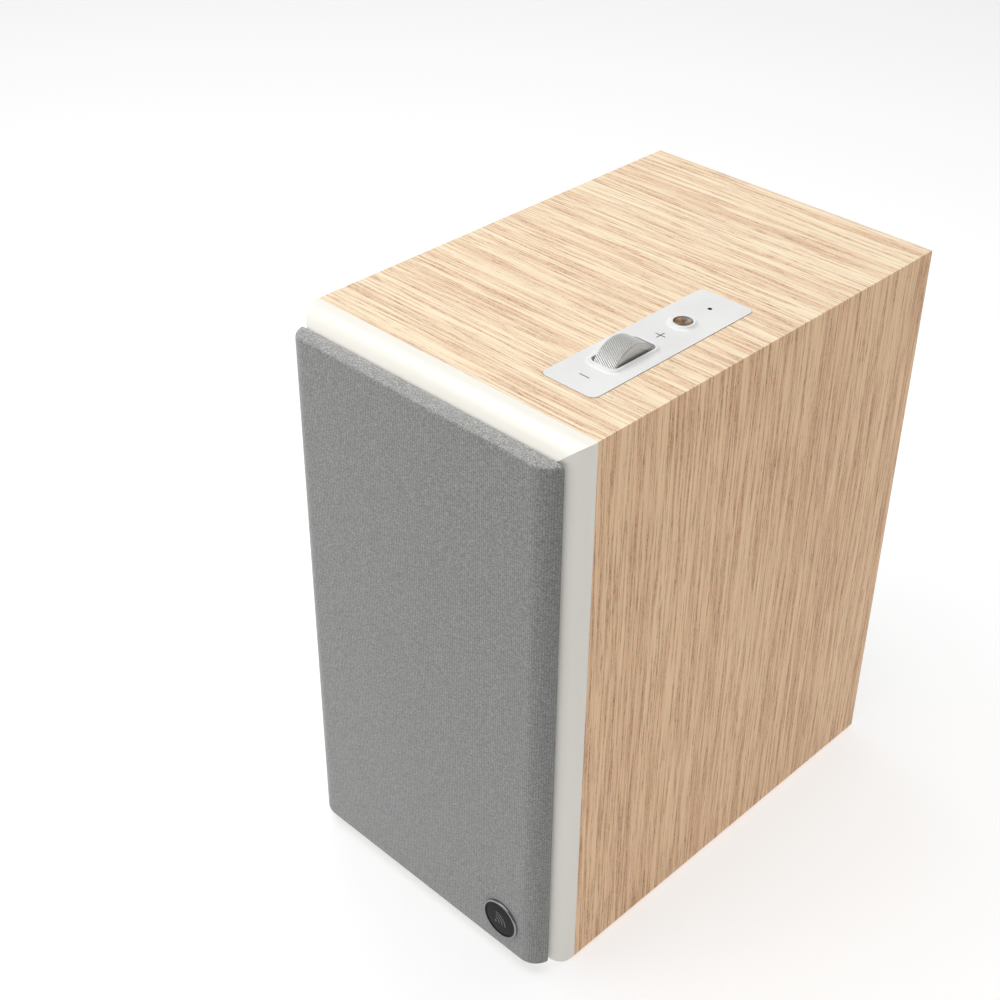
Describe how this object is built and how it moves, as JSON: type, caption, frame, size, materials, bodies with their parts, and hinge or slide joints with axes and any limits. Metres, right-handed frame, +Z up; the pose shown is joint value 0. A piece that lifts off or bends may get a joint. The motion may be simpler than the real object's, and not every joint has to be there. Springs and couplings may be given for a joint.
{
  "type": "bookshelf speaker",
  "caption": "Powered bookshelf speaker: an oak-veneered box with a rounded white baffle, a pull-off cloth grille, a knurled volume wheel and button on top, and rear sockets.",
  "frame": {"origin": "middle of the footprint's bounding box, on the surface that the feet stand on", "axes": "+X to the right seen from the front, +Y to the back, +Z up; the grille faces -Y"},
  "size_m": [0.17, 0.2818, 0.3152],
  "materials": {
    "oak_veneer": "satin oiled oak veneer",
    "rear_board": "matt black paint",
    "bare_board": "bare fibreboard",
    "wadding": "soft white wadding",
    "foot_rubber": "matt",
    "white_paint": "satin white paint",
    "magnet_nickel": "bright nickel plate",
    "grille_moulding": "matt moulded black",
    "grille_cloth": "woven grey cloth",
    "badge_silver": "polished",
    "badge_black": "gloss",
    "black_rubber": "satin",
    "basket_paint": "satin black powder coat",
    "terminal_brass": "bright",
    "motor_steel": "zinc plate",
    "ferrite": "matt sintered",
    "cone_fibre": "woven fibre, satin",
    "cap_black": "satin",
    "coil_copper": "enamelled wire",
    "spider_cloth": "stiffened yellow cloth",
    "waveguide_black": "fine satin",
    "silk": "coated silk",
    "screw_black": "black oxide",
    "port_black": "satin",
    "strip_white": "satin white",
    "tub_black": "matt",
    "board_green": "solder mask",
    "wheel_aluminium": "satin with a knurled rim",
    "axle_steel": "ground",
    "switch_black": "matt",
    "button_copper": "spun copper colour",
    "light_dark": "smoked",
    "amp_plate_black": "fine black anodise",
    "transformer": "yellow tape",
    "can_sleeve": "shrink sleeve with a bare end",
    "sink_aluminium": "extruded",
    "inlet_black": "matt",
    "rocker_black": "satin",
    "jack_nickel": "bright nickel",
    "jack_core": "moulded",
    "socket_steel": "tin plate",
    "stud_gold": "gold flash",
    "nut_nickel": "nickel plate",
    "knob_red": "clear red",
    "knob_black": "gloss",
    "cable_black": "satin"
  },
  "bodies": {
    "cabinet": {"cabinet_top": "oak_veneer", "cabinet_bottom": "oak_veneer", "cabinet_left": "oak_veneer", "cabinet_right": "oak_veneer", "rear_panel": "rear_board", "cabinet_brace": "bare_board", "damping_pads": "wadding", "rubber_feet": "foot_rubber", "front_baffle": "white_paint", "baffle_magnets": "magnet_nickel", "woofer_gasket": "black_rubber", "woofer_basket": "basket_paint", "woofer_terminals": "terminal_brass", "woofer_magnet": "ferrite", "woofer_pole_pieces": "motor_steel", "woofer_surround": "black_rubber", "woofer_spider": "spider_cloth", "tweeter_waveguide": "waveguide_black", "tweeter_edge": "silk", "tweeter_motor": "motor_steel", "fixing_screws": "screw_black", "port_tube": "port_black", "control_plate": "strip_white", "control_housing": "tub_black", "control_switches": "switch_black", "button_spring": "axle_steel", "status_light": "light_dark", "amp_plate": "amp_plate_black", "circuit_boards": "board_green", "power_transformer": "transformer", "smoothing_capacitors": "can_sleeve", "heat_sink": "sink_aluminium", "power_inlet": "inlet_black", "power_switch_frame": "inlet_black", "rca_shells": "jack_nickel", "rca_inserts": "jack_core", "digital_sockets": "socket_steel", "optical_socket": "inlet_black", "slide_switch_body": "socket_steel", "terminal_studs": "stud_gold", "driver_cables": "cable_black", "control_cable": "cable_black"},
    "grille": {"grille_frame": "grille_moulding", "grille_cloth": "grille_cloth", "grille_magnets": "magnet_nickel", "badge_rim": "badge_silver", "badge_disc": "badge_black"},
    "volume_wheel": {"volume_wheel": "wheel_aluminium", "volume_axle": "axle_steel"},
    "source_button": {"button_cap": "button_copper"},
    "power_rocker": {"power_rocker": "rocker_black"},
    "line_phono_slider": {"line_phono_slider": "switch_black"},
    "ground_nut": {"ground_nut": "nut_nickel"},
    "red_knob": {"binding_knob_red": "knob_red"},
    "black_knob": {"binding_knob_black": "knob_black"},
    "woofer_cone": {"woofer_cone": "cone_fibre", "woofer_dust_cap": "cap_black", "woofer_voice_coil": "coil_copper"},
    "tweeter_dome": {"tweeter_dome": "silk", "tweeter_coil": "coil_copper"}
  },
  "joints": [
    {"name": "volume_turn", "type": "hinge", "parent": "cabinet", "child": "volume_wheel", "pos_m": [0.0469, -0.0575, 0.3002], "axis": [1, 0, 0], "continuous": true},
    {"name": "source_button_press", "type": "slide", "parent": "cabinet", "child": "source_button", "axis": [0, 0, -1], "range_m": [0, 0.001], "stiffness_N_per_m": 400, "springref_m": -0.002, "deforming": ["button_spring"]},
    {"name": "grille_pull", "type": "slide", "parent": "cabinet", "child": "grille", "axis": [0, -1, 0], "range_m": [0, 0.08]},
    {"name": "power_rock", "type": "hinge", "parent": "cabinet", "child": "power_rocker", "pos_m": [0.026, 0.1209, 0.061], "axis": [-1, 0, 0], "range_deg": [0, 16]},
    {"name": "line_phono_slide", "type": "slide", "parent": "cabinet", "child": "line_phono_slider", "axis": [1, 0, 0], "range_m": [0, 0.004]},
    {"name": "ground_nut_turn", "type": "hinge", "parent": "cabinet", "child": "ground_nut", "pos_m": [0.002, 0.1252, 0.179], "axis": [0, -1, 0], "range_deg": [0, 1080]},
    {"name": "red_knob_turn", "type": "hinge", "parent": "cabinet", "child": "red_knob", "pos_m": [-0.0095, 0.1279, 0.109], "axis": [0, -1, 0], "range_deg": [0, 1080]},
    {"name": "black_knob_turn", "type": "hinge", "parent": "cabinet", "child": "black_knob", "pos_m": [0.0095, 0.1279, 0.109], "axis": [0, -1, 0], "range_deg": [0, 1080]},
    {"name": "woofer_stroke", "type": "slide", "parent": "cabinet", "child": "woofer_cone", "axis": [0, -1, 0], "range_m": [-0.004, 0.004], "stiffness_N_per_m": 1000, "deforming": ["woofer_surround", "woofer_spider"]},
    {"name": "tweeter_stroke", "type": "slide", "parent": "cabinet", "child": "tweeter_dome", "axis": [0, -1, 0], "range_m": [-0.0003, 0.0003], "stiffness_N_per_m": 60, "deforming": ["tweeter_edge"]}
  ]
}
